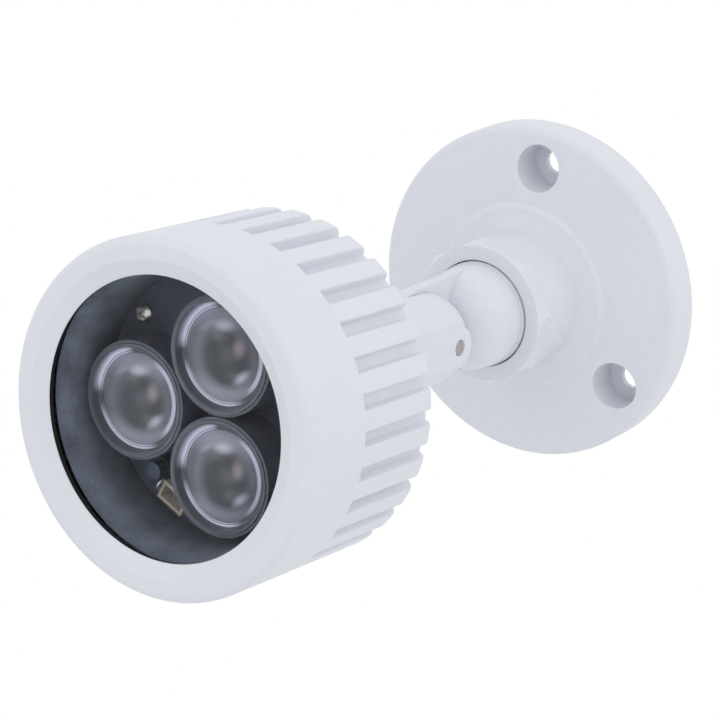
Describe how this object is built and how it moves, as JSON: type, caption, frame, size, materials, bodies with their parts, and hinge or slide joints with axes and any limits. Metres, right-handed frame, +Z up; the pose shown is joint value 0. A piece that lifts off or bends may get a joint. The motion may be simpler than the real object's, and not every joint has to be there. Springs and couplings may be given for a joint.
{
  "type": "infrared illuminator",
  "caption": "Finned round infrared illuminator with clear dome lenses behind a window, on a swivelling, tilting wall bracket.",
  "frame": {"origin": "centre of the wall disc's back face", "axes": "+Y into the wall, -Y out towards the lamp's front, +Z up, +X to the right seen from the front"},
  "size_m": [0.0636, 0.1192, 0.067],
  "materials": {
    "painted": "satin powder coat",
    "steel": "satin",
    "rubber": "matt",
    "glass": "clear",
    "black_plastic": "satin",
    "board": "matt solder mask",
    "aluminium": "machined",
    "lens": "clear",
    "holder": "satin",
    "lamp": "clear dome",
    "sensor": "gloss",
    "sensor_sleeve": "matt",
    "nylon": "natural",
    "green_board": "matt",
    "black_component": "matt",
    "brass": "plated"
  },
  "bodies": {
    "bracket": {"mounting_base": "painted", "lock_nut": "painted", "swivel_washer": "black_plastic"},
    "swivel_post": {"swivel": "painted", "hinge_pin": "steel", "hinge_washer": "black_plastic"},
    "head": {"stem": "painted", "stem_seal": "rubber", "stem_nut": "steel", "housing": "painted", "window_gasket": "rubber", "window_glass": "glass", "reflector_sleeve": "black_plastic", "led_board": "board", "heat_spreader": "aluminium", "board_screws": "steel", "light_sensor": "sensor", "sensor_sleeve": "sensor_sleeve", "wire_connector": "nylon", "driver_board": "green_board", "board_standoffs": "brass", "driver_screws": "steel", "driver_coil": "black_component", "driver_capacitors": "aluminium", "driver_rectifier": "black_component", "rear_cover": "painted", "rear_seal": "rubber", "gland_body": "black_plastic", "gland_nut": "black_plastic", "gland_seal": "rubber", "led_upper": "lamp", "lens_holder_upper": "holder", "lens_upper": "lens", "led_left": "lamp", "lens_holder_left": "holder", "lens_left": "lens", "led_lower": "lamp", "lens_holder_lower": "holder", "lens_lower": "lens"}
  },
  "joints": [
    {"name": "swivel_turn", "type": "hinge", "parent": "bracket", "child": "swivel_post", "pos_m": [0, 0, 0], "axis": [0, -1, 0], "range_deg": [-180, 180]},
    {"name": "head_tilt", "type": "hinge", "parent": "swivel_post", "child": "head", "pos_m": [0, -0.0427, 0], "axis": [-1, 0, 0], "range_deg": [-94.2, 85.8]}
  ]
}
